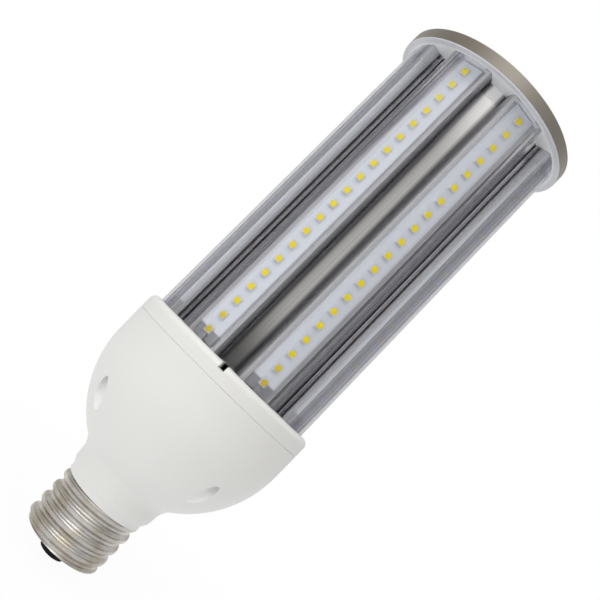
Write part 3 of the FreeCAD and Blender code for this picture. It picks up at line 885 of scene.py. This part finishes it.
# %% Driver finishes
board_green = mottled("board_green", (0.05, 0.22, 0.08), (0.08, 0.28, 0.11), 0.35)
ferrite = mottled("ferrite", (0.06, 0.06, 0.065), (0.10, 0.10, 0.10), 0.60, scale=900.0)
winding_tape = mottled("winding_tape", (0.78, 0.60, 0.08), (0.70, 0.50, 0.05), 0.25)
can_sleeve = mottled("can_sleeve", (0.03, 0.035, 0.06), (0.05, 0.055, 0.08), 0.28)
film_case = mottled("film_case", (0.66, 0.50, 0.06), (0.58, 0.42, 0.05), 0.35)
resin = mottled("black_resin", (0.02, 0.02, 0.02), (0.04, 0.04, 0.04), 0.5)
wire_red = mottled("wire_red", (0.42, 0.02, 0.02), (0.50, 0.04, 0.03), 0.4)
wire_black = mottled("wire_black", (0.02, 0.02, 0.02), (0.04, 0.04, 0.04), 0.4)
wire_grey = mottled("wire_grey", (0.34, 0.34, 0.35), (0.28, 0.28, 0.29), 0.4)
dress(board_green, "driver_board")
dress(ferrite, "transformer_core", "line_choke")
dress(winding_tape, "transformer_winding")
dress(can_sleeve, "mains_capacitor", "output_capacitor")
dress(film_case, "filter_capacitor")
dress(resin, "bridge_rectifier", "mains_fuse")
dress(wire_red, "live_lead")
dress(wire_black, "neutral_lead")
dress(wire_grey, "strip_leads")
print("driver dressed")

# %% [markdown]
# ## Studio
#
# The lamp was photographed on white. The world is white to the camera and behind the lamp, bright
# above, and dim in front but for a band of light round the camera, as a room is behind a photographer:
# that gives the metal something darker to mirror. A tall key box stands left of the camera, with a
# weaker box at the side and a faint fill on the right. Gloss doesn't show these three, because they
# would draw white stripes down the covers. A box above lights the lamp and shows in the metal too. The
# floor is pale, mirrors as white behind the lamp and in a fan in front of it, and keeps a faint shadow.

# %% Studio
room_dim = 0.05
room_back = 0.60
room_above = 0.70
band_glow = 0.55
side_glow = 0.08
window_glow = 0.12
crown_glow = 0.90
flag_share = 0.80
floor_half = 0.8
floor_glow = 0.80
shadow_share = 0.04


def soft_box(name, turn, rise, width, height, power, reach=1.2):
    """Rectangular lamp, turned towards the lamp's middle from a turn off the front and a rise, in degrees."""
    data = bpy.data.lights.new(name, "AREA")
    data.shape = "RECTANGLE"
    data.size = width
    data.size_y = height
    data.energy = power
    lamp = bpy.data.objects.new(name, data)
    bpy.context.scene.collection.objects.link(lamp)
    middle = Matrix.Translation((0.0, 0.0, 0.14))
    swing = Matrix.Rotation(math.radians(turn), 4, "Z") @ Matrix.Rotation(math.radians(90.0 - rise), 4, "X")
    lamp.matrix_world = middle @ swing @ Matrix.Translation((0.0, 0.0, reach))
    lamp.visible_camera = False
    return lamp


def white_room():
    """World: white to the camera and through glass, and by direction for light.

    It is white behind the lamp, bright above and dim in front, but for a band round the camera and a weak
    window on the right. Gloss also shows a crown of light over the camera and a dark flag on the right."""
    world = bpy.data.worlds.new("white_room")
    bpy.context.scene.world = world
    world.use_nodes = True
    world.node_tree.nodes.clear()
    shade = Sock(world.node_tree)
    ray = shade.node("LightPath", {}, {}, "Is Camera Ray")
    through = ray.out("Is Transmission Ray") * (ray.out("Diffuse Depth") < 0.5)
    seen = shade.maths("MAXIMUM", ray, through)
    aim = shade.node("TexCoord", {}, {}, "Generated")
    parts = shade.node("SeparateXYZ", {}, {"Vector": aim})
    x = parts.out("X")
    wide = abs(x - 0.03)
    deep = parts.out("Y")
    high = parts.out("Z")
    back = shade.ease(deep, 0.10, 0.45)
    band = (deep < 0.0) * (1 - shade.ease(wide, 0.03, 0.42))
    rise = shade.ease(high, 0.0, 0.085)
    above = shade.ease(high, 0.375, 0.42)
    window = (deep < 0.0) * shade.ease(x, 0.40, 0.55) * (1 - shade.ease(x, 0.80, 0.95))
    sides = (deep < 0.0) * rise * (1 - shade.ease(abs(x), 0.60, 0.85))
    front = band * (0.02 + band_glow * rise) + side_glow * sides + window_glow * window
    mirrored = ray.out("Is Glossy Ray") * (deep < 0.0)
    spread = abs(x) / (0 - deep)
    crown = mirrored * (1 - shade.ease(spread, 0.20, 0.50)) * shade.ease(high, 0.62, 0.70)
    flag = mirrored * shade.ease(x, 0.40, 0.60) * shade.ease(high, 0.48, 0.58)
    above = above * (1 - flag_share * flag)
    far = shade.maths("MAXIMUM", room_back * back, room_above * above)
    glow = room_dim + front + far + crown_glow * crown
    room = shade.mix(back, (1.0, 0.985, 0.965, 1), (1.0, 1.0, 1.0, 1))
    light = shade.node("Background", {}, {"Color": room, "Strength": glow})
    white_light = shade.node("Background", {}, {"Color": (1, 1, 1, 1), "Strength": 1.0})
    both = shade.node("MixShader", {}, {0: seen, 1: light, 2: white_light})
    shade.node("OutputWorld", {}, {"Surface": both})


def pale_floor():
    """Floor: nearly white to the camera, with a share of its true shading left for the shadow.

    Gloss shows it white behind the lamp and in a fan in front, which opens with the distance."""
    finish, shade = new_finish("pale_floor")
    cloud = shade.noise(shade.place(), 3.0)
    pale = shade.mix(cloud, (0.80, 0.80, 0.80, 1), (0.77, 0.77, 0.77, 1))
    paint = shade.node("BsdfDiffuse", {}, {"Color": pale})
    glow = shade.node("Emission", {}, {"Color": (1, 1, 1, 1), "Strength": 1.0})
    ray = shade.node("LightPath", {}, {}, "Is Camera Ray")
    parts = shade.node("SeparateXYZ", {}, {"Vector": shade.place()})
    x = parts.out("X")
    y = parts.out("Y")
    behind = shade.ease(y, -0.04, 0.08)
    spread = abs(x) / (0 - y)
    fan = (y < -0.025) * (1 - shade.ease(spread, 0.28, 0.50)) * shade.ease(y, -0.40, -0.20)
    mirrored = ray.out("Is Glossy Ray") * shade.maths("MAXIMUM", behind, fan)
    seen = shade.maths("MAXIMUM", ray, ray.out("Is Transmission Ray"))
    reach = (x ** 2 + y ** 2) ** 0.5
    shadow = shadow_share * (1 - shade.ease(reach, 0.05, 0.30))
    lit = shade.maths("MAXIMUM", mirrored, floor_glow * ray.out("Is Diffuse Ray"))
    share = shade.maths("MAXIMUM", seen * (1 - shadow), lit)
    body = shade.node("MixShader", {}, {0: share, 1: paint, 2: glow})
    finish.cycles.emission_sampling = "NONE"
    shade.node("OutputMaterial", {}, {"Surface": body})
    mesh = bpy.data.meshes.new("floor")
    signs = np.array([(-1, -1, 0), (1, -1, 0), (1, 1, 0), (-1, 1, 0)])
    mesh.from_pydata((signs * floor_half).tolist(), [], [(0, 1, 2, 3)])
    mesh.materials.append(finish)
    floor = bpy.data.objects.new("floor", mesh)
    bpy.context.scene.collection.objects.link(floor)


white_room()
pale_floor()
key = soft_box("soft_box_key", -27.0, 8.0, 0.28, 0.90, 2.6)
side = soft_box("soft_box_side", -62.0, 12.0, 0.35, 1.00, 1.2)
fill = soft_box("soft_box_fill", 32.0, 8.0, 0.28, 0.90, 0.4)
for lamp in (key, side, fill):
    lamp.visible_glossy = False
soft_box("soft_box_top", -26.0, 62.0, 0.45, 0.60, 3.0)
print("studio lit")
